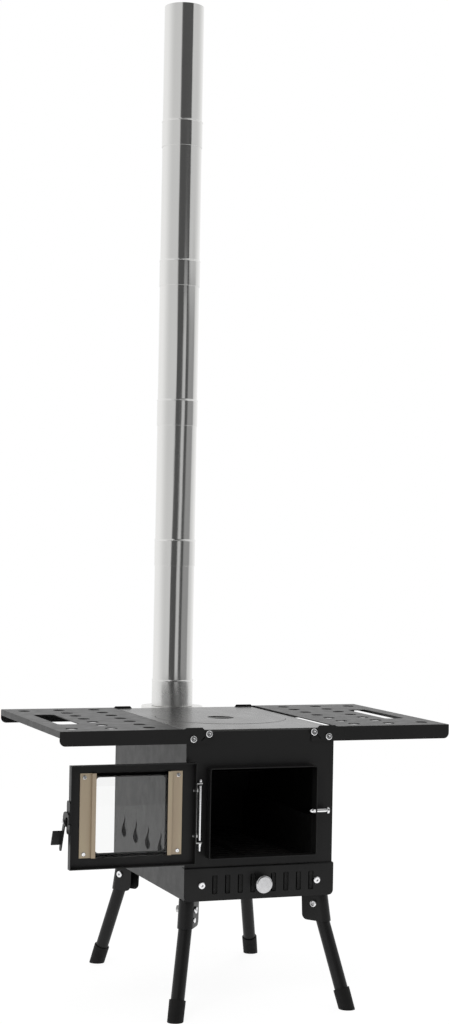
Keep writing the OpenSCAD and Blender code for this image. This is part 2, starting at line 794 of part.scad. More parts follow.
// Stepped strips that hold the glass in the pan
module glass_strips() color(tan) door_open() difference() {
    for (s = [-1, 1]) {
        edge = s < 0 ? strip_left : strip_right;
        foot = edge + s * strip_foot;
        slab(min(edge, foot), max(edge, foot), door_in_y, door_in_y + strip_t, glass_z0, glass_z1);
        slab(min(edge, edge + s * strip_t), max(edge, edge + s * strip_t), door_in_y,
            glass_y1 + strip_t, glass_z0, glass_z1);
        slab(min(edge - s * strip_lip, edge + s * strip_t), max(edge - s * strip_lip, edge + s * strip_t),
            glass_y1, glass_y1 + strip_t, glass_z0, glass_z1);
    }
    for (x = strip_screw_x, z = strip_screw_z)
        rod_y(x, z, door_in_y - cut, door_in_y + strip_t + cut, strip_screw_r + 0.05);
}

module glass_screws() color(chrome) door_open()
    for (x = strip_screw_x, z = strip_screw_z)
        screw_y(x, z, 1, door_in_y + strip_t, strip_t + sheet + 1, strip_screw_r,
            strip_head_r, strip_head_t);

// Strap on the side of the pan, with an ear round the pin at each end
module hinge_strap() color(steel) door_open() difference() {
    union() {
        slab(strap_x0, hinge_out, -strap_w / 2, strap_w / 2, strap_z0, strap_z1);
        for (z = [strap_z0, strap_z1 - strap_t]) {
            slab(0, hinge_out, -strap_w / 2, strap_w / 2, z, z + strap_t);
            translate([0, 0, z]) cylinder(h = strap_t, r = strap_w / 2);
        }
    }
    translate([0, 0, strap_z0 - cut]) cylinder(h = strap_z1 - strap_z0 + 2 * cut, r = bore_r);
    for (z = hinge_screw_z)
        rod_x(0, z, strap_x0 - cut, hinge_out + cut, hinge_screw_r + 0.05);
}

// Screws that hold the strap, with their heads inside the pan
module hinge_screws() color(chrome) door_open()
    for (z = hinge_screw_z) {
        rod_x(0, z, strap_x0 - hinge_nut_t, hinge_out + sheet, hinge_screw_r);
        rod_x(0, z, hinge_out + sheet, hinge_out + sheet + hinge_head_t, hinge_head_r);
    }

module hinge_nuts() color(steel) door_open()
    for (z = hinge_screw_z) difference() {
        translate([strap_x0 - hinge_nut_t, 0, z]) rotate([0, 90, 0])
            cylinder(h = hinge_nut_t, r = hinge_nut_r, $fn = 6);
        rod_x(0, z, strap_x0 - hinge_nut_t - cut, strap_x0 + cut, hinge_screw_r);
    }

// ---- latch ----

// Plate on the side of the pan, with a lug that carries the lever
module latch_bracket() color(black) door_open() difference() {
    translate([door_x1, 0, 0]) rotate([90, 0, 90]) linear_extrude(latch_plate_t) difference() {
        union() {
            rounded(-latch_plate_out, door_y1, pivot_z - latch_plate_down, pivot_z + latch_plate_up, 5);
            rounded(pivot_y - 6.5, -latch_plate_out + 6, pivot_z - 7.5, pivot_z + 13, 5);
        }
        translate([door_y1 - notch_deep, keeper_z - latch_notch / 2])
            square([notch_deep + cut, latch_notch]);
    }
    rod_x(pivot_y, pivot_z, door_x1 - cut, door_x1 + latch_plate_t + cut, pivot_r + 0.05);
}

// Pivot of the lever, headed at both ends
module latch_screw() color(chrome) door_open() difference() {
    head_x = lever_x1 + seat;
    union() {
        rod_x(pivot_y, pivot_z, door_x1 - pivot_head_t, head_x, pivot_r);
        rod_x(pivot_y, pivot_z, door_x1 - pivot_head_t, door_x1, pivot_head_r);
        rod_x(pivot_y, pivot_z, head_x, head_x + pivot_head_t, pivot_head_r);
    }
    socket_x(head_x + pivot_head_t, pivot_y, pivot_z, 1.2, 1.9);
}

// Hook over the keeper and handle below it, drawn from the lever's pivot
module lever_outline() {
    polygon([
        [-6, -2], [-6, hook_dw + 3], [-2, hook_dw + hook_rise - 2], [4, hook_dw + hook_rise],
        [hook_du, hook_dw + hook_rise], [hook_du + hook_gap + 3, hook_dw + hook_rise - 4],
        [hook_du + hook_gap + 3.5, hook_dw - 2], [hook_du + hook_gap + 2.5, hook_dw - 5],
        [hook_du + hook_gap + 0.4, hook_dw - 5], [hook_du + hook_gap, hook_dw + 1],
        [hook_du + 2, hook_dw + hook_gap], [hook_du - 4, hook_dw + hook_gap],
        [hook_du - 10, hook_dw + 1], [7, hook_dw - 5]
    ]);
    circle(7);
    rotate(handle_angle) translate([0, -handle_w / 2]) square([handle_l, handle_w]);
    rotate(handle_angle) translate([handle_l, 0]) circle(handle_w / 2);
}

module latch_lever() color(black) door_open() difference() {
    translate([lever_x0, pivot_y, pivot_z]) {
        rotate([90, 0, 90]) linear_extrude(lever_t) lever_outline();
        rotate([handle_angle, 0, 0])
            translate([lever_t - 0.5, handle_l + handle_w / 2 - paddle_end - paddle_h, -handle_w / 2])
                cube([paddle_w + 0.5, paddle_h, paddle_t]);
    }
    rod_x(pivot_y, pivot_z, lever_x0 - cut, lever_x1 + cut, pivot_r + 0.05);
}

// Bolt across the right side of the collar, which the lever hooks over
module keeper_bolt() color(chrome) difference() {
    union() {
        rod_x(keeper_y, keeper_z, keeper_tip_x, keeper_head_x, keeper_r);
        rod_x(keeper_y, keeper_z, keeper_head_x, keeper_head_x + keeper_head_t, keeper_head_r);
    }
    socket_x(keeper_head_x + keeper_head_t, keeper_y, keeper_z, 2, 2.6);
}

// Domed nut on the keeper, inside the collar
module keeper_nut() color(chrome) difference() {
    translate([cap_nut_x, keeper_y, keeper_z]) rotate([0, 90, 0]) {
        cylinder(h = cap_nut_t, r = cap_nut_r, $fn = 6);
        rotate([180, 0, 0]) rotate_extrude() polygon([
            [0, -cut], [cap_dome_r, -cut], [cap_dome_r, 0], [3.7, 1.5], [3, 3], [1.7, 4.4],
            [0, cap_dome_l]
        ]);
    }
    rod_x(keeper_y, keeper_z, keeper_tip_x - seat, mouth_x, keeper_r);
}

// ---- shelves ----

// Edge of a shelf with its ear, in x and z for the right-hand shelf. The nose under the
// stop screw holds the shelf level; a slit runs down from its root.
module shelf_edge_shape() difference() {
    polygon(concat(
        [[shelf_x1, shelf_z], [shelf_x1, shelf_edge_z], [shelf_px - nose_l, shelf_edge_z],
            [shelf_px - nose_l, shelf_pz + nose_top], [shelf_px - ear_in, shelf_pz + nose_top]],
        [for (i = [0:3]) let (a = ear_turn[0] + i / 3 * (ear_turn[1] - ear_turn[0]))
            [shelf_px + ear_sweep * cos(a), shelf_pz + ear_sweep * sin(a)]],
        [[side_x + 1.5, shelf_pz + ear_top], [side_x + 3.5, shelf_z]]));
    translate([shelf_px - ear_in + 1.9, shelf_pz + nose_top - 1.5]) rotate(-45)
        translate([-slit_r, -slit_r]) square([slit_l + 2 * slit_r, 2 * slit_r]);
    translate([shelf_x1 - shelf_corner, shelf_edge_z - cut]) difference() {
        square([shelf_corner + cut, shelf_corner + cut]);
        translate([0, shelf_corner + cut]) circle(shelf_corner);
    }
    translate([shelf_px, shelf_pz]) circle(hole_r);
}

// Perforations of one shelf, in x and y for the right-hand shelf
module shelf_holes() {
    for (x = [hole_row_1, hole_row_2], i = [-3:3])
        translate([x, i * shelf_hole_pitch]) circle(shelf_hole_d / 2);
    for (s = [-1, 1])
        translate([hole_row_3, s * 2.9 * shelf_hole_pitch]) circle(shelf_hole_d / 2);
    rounded(hand_slot_x - hand_slot_w / 2, hand_slot_x + hand_slot_w / 2,
        -hand_slot_l / 2, hand_slot_l / 2, hand_slot_corner);
}

module shelf(s) color(black) mirror([s < 0 ? 1 : 0, 0, 0]) {
    difference() {
        slab(shelf_x0, shelf_x1, -ear_out_y, ear_out_y, shelf_z - sheet, shelf_z);
        translate([0, 0, shelf_z - sheet - cut]) linear_extrude(sheet + 2 * cut) shelf_holes();
    }
    upright(-ear_out_y, -shelf_y) shelf_edge_shape();
    upright(shelf_y, ear_out_y) shelf_edge_shape();
    slab(shelf_x1 - sheet, shelf_x1, -shelf_y - sheet / 2, shelf_y + sheet / 2,
        shelf_z - shelf_end, shelf_z);
}

// Pivot screws of both shelves, front and back
module shelf_pivot_screws() color(chrome)
    for (s = [-1, 1], side = [-1, 1])
        screw_y(s * shelf_px, shelf_pz, side, ear_out_y + seat,
            ear_out_y + seat - back_y + sheet + nut_t + 1, screw_r, head_r, head_t);

module shelf_stop_screws() color(chrome)
    for (s = [-1, 1], side = [-1, 1])
        screw_y(s * (shelf_px - stop_in), shelf_pz + stop_up, side, ear_out_y + 0.4,
            ear_out_y + 0.4 - back_y + sheet + 2, screw_r, head_r, head_t);

module shelf_nuts() color(steel)
    for (s = [-1, 1], side = [-1, 1]) {
        y_in = side * (back_y - sheet);
        nut_y(s * shelf_px, shelf_pz, min(y_in, y_in - side * nut_t),
            max(y_in, y_in - side * nut_t), nut_r, screw_r);
    }

// ---- legs ----

// Moves to a leg's pivot, with x pointing the way that the leg leans
module at_leg(sx, sy)
    translate([sx * leg_px, sy * leg_py, leg_pz])
        rotate([0, 0, atan2(sy * sin(leg_turn), sx * cos(leg_turn))]) children();

// Turns a leg drawn straight down from its pivot into its lean
module leaning() rotate([0, -leg_tilt, 0]) children();

// Side shape of a bracket in x and z, drawn from the pivot
module leg_ear_shape() {
    inner = -bracket_in + 1.5;
    far = web_foot_x + 2 * leg_r;
    polygon(concat(
        [[-bracket_in, leg_drop], [far, leg_drop], [far, -bracket_low]],
        [for (a = [270:-15:180])
            [inner + ear_round * (1 + cos(a)), -bracket_low + ear_round * (1 + sin(a))]]));
}

// Trough along the web's axis: a half-round of radius r outward, open or closed inward at x = -l
module trough(r, l) translate([web_px, 0, 0]) rotate([0, -web_tilt, 0]) translate([0, 0, -2 * bracket_low])
    linear_extrude(4 * bracket_low) polygon(concat(
        [[-l, r]], [for (a = [90:-15:-90]) [r * cos(a), r * sin(a)]], [[-l, -r]]));

// Place in x and z of the lock button, on the leg's axis
button_x = button_s * sin(leg_tilt);
button_z = -button_s * cos(leg_tilt);

// Which ear has the lock button: the one that faces the right-hand side of the stove
function button_side(sy) = -sy;

// Channel that is open inward; the leaning tube rests in its round web
module leg_brackets() color(black)
    for (sx = [-1, 1], sy = [-1, 1]) at_leg(sx, sy) difference() {
        intersection() {
            trough(ear_y1, 3 * bracket_in);
            upright(-ear_y1 - cut, ear_y1 + cut) leg_ear_shape();
        }
        intersection() {
            trough(ear_y0, 4 * bracket_in);
            slab(-4 * bracket_in, 4 * bracket_in, -ear_y1, ear_y1, -2 * bracket_low, leg_drop - ear_t);
        }
        rod_y(0, 0, -ear_y1 - cut, ear_y1 + cut, leg_bolt_r + 0.05);
        q = button_side(sy);
        rod_y(button_x, button_z, min(q * leg_r, q * (ear_y1 + cut)), max(q * leg_r, q * (ear_y1 + cut)),
            button_r);
    }

// Pivot bolts, with the heads on the ears that face forward
module leg_bolts() color(chrome)
    for (sx = [-1, 1], sy = [-1, 1]) at_leg(sx, sy)
        screw_y(0, 0, -sx, ear_y1, 2 * ear_y1 + nut_t + 0.5, leg_bolt_r, head_r, head_t);

module leg_nuts() color(steel)
    for (sx = [-1, 1], sy = [-1, 1]) at_leg(sx, sy)
        nut_y(0, 0, min(sx * ear_y1, sx * (ear_y1 + nut_t)), max(sx * ear_y1, sx * (ear_y1 + nut_t)),
            nut_r, leg_bolt_r);

// Lock buttons in the ears, below the pivots
module leg_buttons() color(chrome)
    for (sx = [-1, 1], sy = [-1, 1]) at_leg(sx, sy) {
        q = button_side(sy);
        rod_y(button_x, button_z, min(q * ear_y0, q * ear_y1), max(q * ear_y0, q * ear_y1), button_r);
        rod_y(button_x, button_z, min(q * ear_y1, q * (ear_y1 + button_head_t)),
            max(q * ear_y1, q * (ear_y1 + button_head_t)), button_head_r);
    }

// Upright tube reaching down by l from z = 0, closed by a dome in two tapers above it
module domed_tube(r, wall, l) {
    shoulder = 1;
    rotate_extrude() polygon([
        [r - wall, -l], [r, -l], [r, shoulder], [r * cos(32), r * sin(32)], [r * cos(60), r * sin(60)],
        [0, r * sin(60)], [0, r * sin(60) - wall], [r * cos(60) - wall / 2, r * sin(60) - wall],
        [r * cos(32) - wall, r * sin(32) - wall / 2], [r - wall, shoulder]
    ]);
}

// Leg tube, domed about its pivot, so that it turns clear of the web
module leg_tube(sx, sy) color(black) at_leg(sx, sy) leaning() difference() {
    domed_tube(leg_r, leg_wall, leg_run - foot_l / 2);
    rod_y(0, 0, -leg_r - cut, leg_r + cut, leg_bolt_r + 0.05);
}

// Rubber foot round the end of a leg, with its sole cut level on the ground
module foot(sx, sy) color(dark) difference() {
    at_leg(sx, sy) leaning() difference() {
        translate([0, 0, -leg_run - foot_d / 2])
            cylinder(h = foot_l + foot_d / 2, r1 = foot_d / 2 - 0.5, r2 = foot_d / 2);
        translate([0, 0, -leg_run + foot_l / 2]) cylinder(h = foot_l, r = leg_r);
    }
    translate([0, 0, -foot_l]) cube([2 * body_w, 2 * body_d, 2 * foot_l], center = true);
}

// ---- flue ----

// Slip-jointed section: a wide socket with a bead at the lower end
module flue_section(index, length) color(steel)
    translate([0, flue_y, flue_z + index * flue_pitch]) rotate_extrude($fn = 128) polygon([
        [socket_in, 0], [socket_out, 0], [socket_out, flue_joint - bead_h / 2],
        [bead_r, flue_joint - bead_h / 4], [bead_r, flue_joint + bead_h / 4],
        [flue_r, flue_joint + bead_h / 2], [flue_r, length],
        [flue_in, length], [flue_in, flue_joint], [socket_in, flue_joint]
    ]);

body_shell();
front_plate();
back_plate();
top_plate();
lid_ring();
door_collar();
liner(-1);  // liner_left
liner(1);  // liner_right
grate();
smoke_baffle();
smoke_box();
smoke_box_screws();
flue_collar();
lid();
lid_cup();
air_panel();
damper_slide();
damper_knob();
damper_screws();
damper_nuts();
hinge_bracket();
hinge_pin();
pin_clip();
door_pan();
door_gasket();
door_glass();
glass_strips();
glass_screws();
hinge_strap();
hinge_screws();
hinge_nuts();
latch_bracket();
latch_screw();
latch_lever();
keeper_bolt();
keeper_nut();
shelf(-1);  // left_shelf
shelf(1);  // right_shelf
shelf_pivot_screws();
shelf_stop_screws();
shelf_nuts();
leg_brackets();
leg_bolts();
leg_nuts();
leg_buttons();
leg_tube(-1, -1);  // leg_tube_front_left
leg_tube(1, -1);  // leg_tube_front_right
leg_tube(-1, 1);  // leg_tube_back_left
leg_tube(1, 1);  // leg_tube_back_right
foot(-1, -1);  // foot_front_left
foot(1, -1);  // foot_front_right
foot(-1, 1);  // foot_back_left
foot(1, 1);  // foot_back_right
flue_section(0, flue_len);  // flue_1
flue_section(1, flue_len);  // flue_2
flue_section(2, flue_len);  // flue_3
flue_section(3, flue_len);  // flue_4
flue_section(4, flue_top_len);  // flue_5
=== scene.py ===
"""Looks of the tent wood stove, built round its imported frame.

Metres, +Z up, front of the stove at -Y. The door stands open at rest.
"""
import json
import math

import bmesh
import bpy
from mathutils import Matrix, Vector


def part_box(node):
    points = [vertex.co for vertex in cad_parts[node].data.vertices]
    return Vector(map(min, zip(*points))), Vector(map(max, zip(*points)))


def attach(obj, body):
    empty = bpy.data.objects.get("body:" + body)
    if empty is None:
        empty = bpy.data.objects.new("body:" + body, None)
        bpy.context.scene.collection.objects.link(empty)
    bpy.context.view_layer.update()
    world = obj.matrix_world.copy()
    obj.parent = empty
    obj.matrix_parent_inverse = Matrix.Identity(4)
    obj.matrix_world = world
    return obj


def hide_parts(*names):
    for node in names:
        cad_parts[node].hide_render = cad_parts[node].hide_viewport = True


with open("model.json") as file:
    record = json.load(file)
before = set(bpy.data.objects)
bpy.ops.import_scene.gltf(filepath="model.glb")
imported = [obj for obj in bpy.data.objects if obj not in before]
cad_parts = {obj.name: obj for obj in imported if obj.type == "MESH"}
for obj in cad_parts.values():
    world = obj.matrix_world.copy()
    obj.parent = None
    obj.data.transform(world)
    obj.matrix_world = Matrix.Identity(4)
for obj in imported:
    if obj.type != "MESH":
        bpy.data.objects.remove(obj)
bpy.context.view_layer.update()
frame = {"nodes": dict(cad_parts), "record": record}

MM = 0.001
MICRON = 1e-6
NODES = frame["nodes"]
BODY_OF = {
    node: body
    for body, members in frame["record"]["behaviour"]["bodies"].items()
    for node in members
}
SLOT_OF = {row["node"]: row["material_slot"] for row in frame["record"]["subparts"]}

# ---------------------------------------------------------------- camera

# Height of the photograph, and the camera that was fitted to the stove's edges in it
PHOTO_H_PX = 1024
CAMERA_AT = Vector((-1.0768, -2.9020, 0.7294))
CAMERA_TURN = math.radians(20.37)
CAMERA_RISE = math.radians(0.6)
CAMERA_ROLL = math.radians(1.02)
FOCAL_PX = 1883.8
CENTRE_DROP_PX = 7.6
# Height of the sensor in mm, which the focal length goes with
SENSOR_H = 24.0
# How far the camera sees, in metres
VIEW_END = 60


def make_camera():
    """Camera at the photograph's viewing angle."""
    forward = Vector((
        math.sin(CAMERA_TURN) * math.cos(CAMERA_RISE),
        math.cos(CAMERA_TURN) * math.cos(CAMERA_RISE),
        math.sin(CAMERA_RISE),
    ))
    level = Vector((math.cos(CAMERA_TURN), -math.sin(CAMERA_TURN), 0))
    upright = level.cross(forward)
    right = level * math.cos(CAMERA_ROLL) + upright * math.sin(CAMERA_ROLL)
    up = upright * math.cos(CAMERA_ROLL) - level * math.sin(CAMERA_ROLL)
    data = bpy.data.cameras.new("camera")
    data.sensor_fit = "VERTICAL"
    data.sensor_height = SENSOR_H
    data.lens = FOCAL_PX / PHOTO_H_PX * SENSOR_H
    data.shift_y = CENTRE_DROP_PX / PHOTO_H_PX
    data.clip_end = VIEW_END
    camera = bpy.data.objects.new("camera", data)
    axes = Matrix((right, up, -forward)).transposed()
    camera.matrix_world = Matrix.Translation(CAMERA_AT) @ axes.to_4x4()
    bpy.context.scene.collection.objects.link(camera)
    bpy.context.scene.camera = camera


# ---------------------------------------------------------------- shader nodes

# Most of a noise lies between these values
NOISE_SPAN = (0.3, 0.7)


class Nodes:
    """A node tree with short ways to add to it."""

    def __init__(self, tree):
        self.tree = tree

    def node(self, kind, **settings):
        made = self.tree.nodes.new(kind)
        for key, value in settings.items():
            setattr(made, key, value)
        return made

    def link(self, source, target):
        self.tree.links.new(source, target)

    def feed(self, socket, value):
        """Gives a socket a number, a colour or the output of another node."""
        if isinstance(value, bpy.types.NodeSocket):
            self.link(value, socket)
        else:
            socket.default_value = value

    def math(self, operation, *values):
        made = self.node("ShaderNodeMath", operation=operation)
        for socket, value in zip(made.inputs, values):
            self.feed(socket, value)
        return made.outputs[0]

    def remap(self, value, span, new_span, interpolation="LINEAR"):
        """Moves a value from one span, (low, high), to another."""
        made = self.node("ShaderNodeMapRange", interpolation_type=interpolation)
        names = ("From Min", "From Max", "To Min", "To Max")
        for name, number in zip(names, (*span, *new_span)):
            made.inputs[name].default_value = number
        self.link(value, made.inputs["Value"])
        return made.outputs["Result"]

    def mix_shaders(self, share, first, second):
        """Mixes two shaders, from all of the first at 0 to all of the second at 1."""
        made = self.node("ShaderNodeMixShader")
        for socket, value in zip(made.inputs, (share, first, second)):
            self.link(value, socket)
        return made.outputs[0]

    def seen_by(self, *rays):
        """1 for the kinds of ray that are named, as Light Path calls them, and else 0."""
        path = self.node("ShaderNodeLightPath")
        value = path.outputs[rays[0]]
        for ray in rays[1:]:
            value = self.math("MAXIMUM", value, path.outputs[ray])
        return value


class Surface(Nodes):
    """A Principled material with a few procedural helpers."""

    def __init__(self, name, colour, roughness, metallic=0.0):
        self.material = bpy.data.materials.new(name)
        self.material.use_nodes = True
        super().__init__(self.material.node_tree)
        self.shader = self.tree.nodes["Principled BSDF"]
        self.feed_shader("Base Color", (*colour, 1))
        self.feed_shader("Roughness", roughness)
        self.feed_shader("Metallic", metallic)
        self.place = self.node("ShaderNodeTexCoord").outputs["Object"]

    def feed_shader(self, name, value):
        self.feed(self.shader.inputs[name], value)

    def noise(self, scale, detail, stretch=(1, 1, 1)):
        """Noise with its cells 1/scale metres wide, and wider where stretch is under 1."""
        mapping = self.node("ShaderNodeMapping")
        mapping.inputs["Scale"].default_value = stretch
        self.link(self.place, mapping.inputs["Vector"])
        noise = self.node("ShaderNodeTexNoise")
        noise.inputs["Scale"].default_value = scale
        noise.inputs["Detail"].default_value = detail
        self.link(mapping.outputs["Vector"], noise.inputs["Vector"])
        return noise.outputs["Fac"]

    def between(self, value, low, high):
        """Spreads a noise over low to high."""
        return self.remap(value, NOISE_SPAN, (low, high))

    def vary_roughness(self, value, low, high):
        self.feed_shader("Roughness", self.between(value, low, high))

    def vary_colour(self, value, first, second):
        mix = self.node("ShaderNodeMix", data_type="RGBA")
        mix.inputs["A"].default_value = (*first, 1)
        mix.inputs["B"].default_value = (*second, 1)
        self.link(self.between(value, 0, 1), mix.inputs["Factor"])
        self.feed_shader("Base Color", mix.outputs["Result"])

    def bump(self, *layers):
        """Adds bumps, each a value with its height in microns."""
        normal = None
        for value, height in layers:
            bump = self.node("ShaderNodeBump")
            bump.inputs["Strength"].default_value = 1.0
            bump.inputs["Distance"].default_value = height * MICRON
            self.link(value, bump.inputs["Height"])
            if normal:
                self.link(normal, bump.inputs["Normal"])
            normal = bump.outputs["Normal"]
        self.feed_shader("Normal", normal)


# ---------------------------------------------------------------- materials

# Heights between which the flue's foot, where it runs hottest, goes from dull to bright
FLUE_FOOT_Z = (0.44, 0.51)
# Roughness that the heat adds there
FLUE_FOOT_DULL = 0.2


def black_paint():
    """Heat-proof black paint: fine grain, and a sheen that varies a little."""
    s = Surface("black_paint", (0.0095, 0.0095, 0.0095), 0.4)
    s.feed_shader("Specular IOR Level", 0.25)
    s.vary_colour(s.noise(14, 4), (0.0085, 0.0085, 0.0087), (0.0112, 0.011, 0.0108))
    s.vary_roughness(s.noise(60, 5), 0.36, 0.44)
    s.bump((s.noise(260, 2), 2.5))
    return s.material


def hot_plate():
    """Darkened satin steel of the top plate and lid."""
    s = Surface("hot_plate", (0.038, 0.038, 0.037), 0.27)
    s.feed_shader("Specular IOR Level", 0.42)
    s.vary_colour(s.noise(14, 3), (0.035, 0.035, 0.034), (0.042, 0.041, 0.04))
    s.vary_roughness(s.noise(40, 3, (1, 0.3, 1)), 0.25, 0.29)
    s.bump((s.noise(160, 2), 2))
    return s.material


def sooty_and_shaded_steel():
    """Bare dark steel inside the firebox, also put on the damper slide as painted shade that
    darkens the air panel's slots.
    """
    s = Surface("sooty_and_shaded_steel", (0.006, 0.006, 0.006), 0.8)
    s.vary_colour(s.noise(25, 6), (0.003, 0.003, 0.003), (0.009, 0.0085, 0.008))
    s.vary_roughness(s.noise(70, 4), 0.7, 0.9)
    s.bump((s.noise(600, 4), 80))
    return s.material


def grate_iron():
    """Rough dark iron of the slotted grate, faintly rusty."""
    s = Surface("grate_iron", (0.01, 0.01, 0.01), 0.75)
    s.vary_colour(s.noise(40, 6), (0.005, 0.005, 0.005), (0.016, 0.014, 0.013))
    s.vary_roughness(s.noise(120, 4), 0.62, 0.85)
    s.bump((s.noise(500, 5), 150))
    return s.material


def stainless():
    """Polished stainless sheet with faint rolling lines along the flue."""
    s = Surface("stainless", (0.76, 0.76, 0.745), 0.1, metallic=1.0)
    s.vary_colour(s.noise(9, 3, (1, 1, 0.2)), (0.74, 0.74, 0.73), (0.79, 0.785, 0.77))
    streaks = s.between(s.noise(260, 3, (1, 1, 0.02)), 0.07, 0.14)
    parts = s.node("ShaderNodeSeparateXYZ")
    s.link(s.place, parts.inputs[0])
    foot = s.remap(parts.outputs["Z"], FLUE_FOOT_Z, (FLUE_FOOT_DULL, 0), "SMOOTHSTEP")
    s.feed_shader("Roughness", s.math("ADD", streaks, foot))
    dents = s.noise(22, 2, (1, 1, 0.3))
    rolling_lines = s.noise(330, 2, (1, 1, 0.01))
    s.bump((dents, 250), (rolling_lines, 20))
    return s.material


def chrome():
    """Bright plating of the screws, bolts, pins and buttons."""
    s = Surface("bright_plate", (0.86, 0.86, 0.87), 0.08, metallic=1.0)
    s.vary_roughness(s.noise(300, 3), 0.05, 0.13)
    s.bump((s.noise(900, 2), 8))
    return s.material


def knob_plate():
    """Duller plating of the damper's knob."""
    s = Surface("knob_plate", (0.6, 0.6, 0.61), 0.16, metallic=1.0)
    s.vary_colour(s.noise(90, 3), (0.54, 0.54, 0.55), (0.64, 0.64, 0.65))
    s.vary_roughness(s.noise(300, 3), 0.13, 0.2)
    s.bump((s.noise(200, 2), 10))
    return s.material


def zinc():
    """Dull zinc plating of the nuts and the hinge strap."""
    s = Surface("zinc_plate", (0.6, 0.6, 0.6), 0.34, metallic=0.9)
    s.vary_colour(s.noise(160, 3), (0.52, 0.52, 0.52), (0.66, 0.66, 0.65))
    s.vary_roughness(s.noise(400, 3), 0.28, 0.4)
    s.bump((s.noise(1200, 2), 20))
    return s.material


def tan_strip():
    """Dull yellowish plating of the strips that hold the glass."""
    s = Surface("tan_strip", (0.43, 0.35, 0.25), 0.42, metallic=0.3)
    upright = (1, 1, 0.1)
    s.vary_colour(s.noise(60, 4, upright), (0.41, 0.325, 0.235), (0.46, 0.385, 0.27))
    s.vary_roughness(s.noise(400, 3, upright), 0.36, 0.48)
    s.bump((s.noise(1400, 2, upright), 15))
    return s.material


def pane():
    """Clear heat-proof glass with a faint tint."""
    s = Surface("pane", (0.9, 0.905, 0.9), 0.0)
    s.feed_shader("Transmission Weight", 1.0)
    # Below real glass, so that reflections don't veil what shows through the open door
    s.feed_shader("IOR", 1.25)
    s.vary_colour(s.noise(9, 2), (0.895, 0.9, 0.896), (0.906, 0.91, 0.906))
    return s.material


def gasket_cloth():
    """Woven glass-fibre tape."""
    s = Surface("gasket_cloth", (0.05, 0.05, 0.048), 0.95)
    weave = s.node("ShaderNodeTexWave", wave_type="BANDS", bands_direction="DIAGONAL")
    weave.inputs["Scale"].default_value = 420
    s.link(s.place, weave.inputs["Vector"])
    s.vary_colour(weave.outputs["Fac"], (0.03, 0.03, 0.029), (0.075, 0.073, 0.07))
    s.bump((weave.outputs["Fac"], 100))
    return s.material


def foot_rubber():
    """Matt black rubber of the feet."""
    s = Surface("foot_rubber", (0.008, 0.008, 0.008), 0.62)
    s.feed_shader("Specular IOR Level", 0.2)
    s.vary_colour(s.noise(50, 4), (0.007, 0.007, 0.007), (0.0095, 0.0092, 0.009))
    s.vary_roughness(s.noise(200, 4), 0.55, 0.72)
    s.bump((s.noise(1500, 2), 30))
    return s.material


# The finish of each material slot in the record
MATERIALS = {
    "black_steel": black_paint(),
    "plate_steel": hot_plate(),
    "grate_iron": grate_iron(),
    "stainless": stainless(),
    "zinc": zinc(),
    "bright": chrome(),
    "tan_strip": tan_strip(),
    "pane": pane(),
    "gasket_cloth": gasket_cloth(),
    "foot_rubber": foot_rubber(),
}
# Finishes of pieces that look different from the rest of their slot
# Dark steel for the firebox's inside, and painted shade on the damper slide behind the air panel's
# slots
SOOT_AND_SHADE = sooty_and_shaded_steel()
KNOB = knob_plate()

# ---------------------------------------------------------------- mesh helpers

# Edges sharper than this are rounded
SHARP = math.radians(30)
# Edges that are still sharper than this afterwards are shaded as creases
CREASE = math.radians(50)
# Triangles that turn less than this from each other are joined into one flat face
FLAT = math.radians(0.4)
# Points of a solid that are nearer than this are one point
SAME_POINT = 2e-6
# Edges shorter than this are dropped
NO_LENGTH = 1e-6
# The same for a turned outline, whose points are exact
LATHE_MARGIN = 1e-7
# Largest strength of the modifier that keeps large faces flat
KEEP_FLAT = 100
# Steps round a bend and round a screw head's dome
BEND_STEPS = 4
DOME_STEPS = 7
# Shares of a screw head's radius: the longest side of its rim, the error in the rim's
# own radius, and the largest shank
RIM_SIDE = 0.35
RIM_ERROR = 0.04
SHANK_R = 0.8


def add_object(name, mesh, material):
    mesh.materials.clear()
    mesh.materials.append(material)
    piece = bpy.data.objects.new(name, mesh)
    bpy.context.scene.collection.objects.link(piece)
    return piece


def dress(piece, node):
    """Puts a piece in the place of a CAD node, on its body."""
    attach(piece, BODY_OF[node])
    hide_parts(node)


def clean_copy(node):
    """The node's solid as a bmesh with flat faces in one piece."""
    mesh = bmesh.new()
    mesh.from_mesh(NODES[node].data)
    bmesh.ops.remove_doubles(mesh, verts=mesh.verts, dist=SAME_POINT)
    bmesh.ops.dissolve_degenerate(mesh, edges=mesh.edges, dist=NO_LENGTH)
    bmesh.ops.dissolve_limit(
        mesh, angle_limit=FLAT, verts=mesh.verts, edges=mesh.edges, delimit={"NORMAL"})
    return mesh


def is_sharp(edge):
    return len(edge.link_faces) == 2 and edge.calc_face_angle(0) > SHARP


def round_edges(mesh, chosen, radius, steps):
    bmesh.ops.bevel(
        mesh, geom=chosen, offset=radius, offset_type="OFFSET", segments=steps,
        profile=0.5, affect="EDGES", clamp_overlap=True)


def head_rims(mesh, head_r):
    """Edges round the outer faces of screw heads of one radius, in metres."""
    rings = []
    waiting = {e for e in mesh.edges if is_sharp(e) and e.calc_length() < RIM_SIDE * head_r}
    while waiting:
        ring, front = [], [waiting.pop()]
        while front:
            edge = front.pop()
            ring.append(edge)
            near = {e for v in edge.verts for e in v.link_edges} & waiting
            waiting -= near
            front += near
        corners = {v for e in ring for v in e.verts}
        centre = sum((v.co for v in corners), Vector()) / len(corners)
        size = sum((v.co - centre).length for v in corners) / len(corners)
        rings.append((ring, centre, size))
    heads = [r for r in rings if abs(r[2] - head_r) < RIM_ERROR * head_r]
    shanks = [r[1] for r in rings if r[2] < SHANK_R * head_r]

    def reach(ring):
        return min((ring[1] - tip).length for tip in shanks)

    # Each head has two rims, and the outer one is further from the shank
    chosen = []
    for ring in heads:
        twin = min((r for r in heads if r is not ring), key=lambda r: (r[1] - ring[1]).length)
        if reach(ring) > reach(twin):
            chosen += ring[0]
    return chosen


